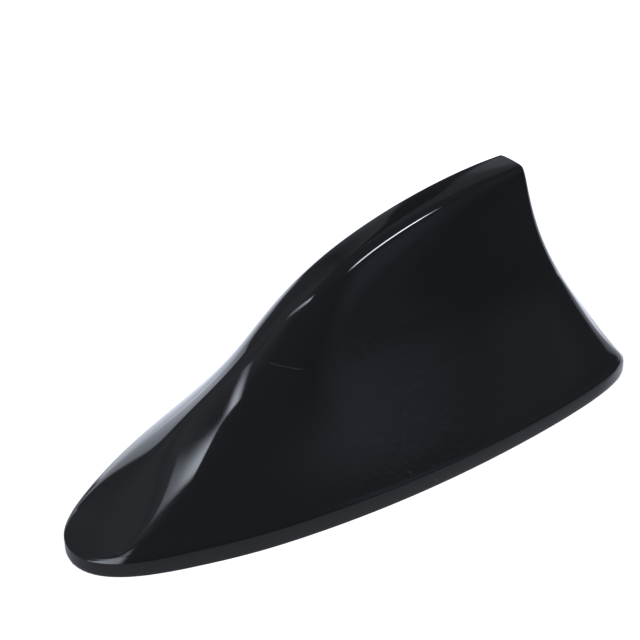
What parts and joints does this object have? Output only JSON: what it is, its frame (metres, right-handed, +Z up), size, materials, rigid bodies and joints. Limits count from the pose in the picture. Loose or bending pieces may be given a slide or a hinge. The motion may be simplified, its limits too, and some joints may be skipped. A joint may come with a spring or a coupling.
{
  "type": "shark fin aerial",
  "caption": "Gloss black shark fin car roof aerial with an upright rim band, hollow flanks, a flat spine and a concave rear edge, on a sticky foam pad.",
  "frame": {"origin": "centre of the foam pad's underside, where it meets the roof", "axes": "+X from the nose to the tail, +Y to the far side, +Z up from the roof"},
  "size_m": [0.165, 0.0694, 0.0614],
  "materials": {
    "gloss_abs": "polished",
    "seal_rubber": "matt",
    "matt_abs": "fine grain",
    "foam_tape": "closed-cell foam",
    "zinc_steel": "bright zinc plated",
    "glass_fibre": "satin solder mask",
    "tinned_sheet": "tinned",
    "chip_epoxy": "matt",
    "chip_ceramic": "matt",
    "ferrite": "matt",
    "copper_wire": "enamelled copper",
    "can_aluminium": "satin",
    "socket_brass": "gold plated",
    "white_insulator": "smooth",
    "natural_nylon": "smooth"
  },
  "bodies": {
    "root": {"cover": "gloss_abs", "rim_gasket": "seal_rubber", "base_plate": "matt_abs", "adhesive_pad": "foam_tape", "base_screws": "zinc_steel", "circuit_board": "glass_fibre", "board_screws": "zinc_steel", "shield_can": "tinned_sheet", "amplifier_chip": "chip_epoxy", "chip_legs": "tinned_sheet", "chip_capacitors": "chip_ceramic", "chip_resistors": "chip_epoxy", "choke_core": "ferrite", "choke_winding": "copper_wire", "capacitor_can": "can_aluminium", "capacitor_foot": "chip_epoxy", "coax_socket": "socket_brass", "socket_insulator": "white_insulator", "lead_grommet": "seal_rubber", "coil_former": "natural_nylon", "aerial_coil": "copper_wire", "top_plate": "tinned_sheet"}
  },
  "joints": []
}
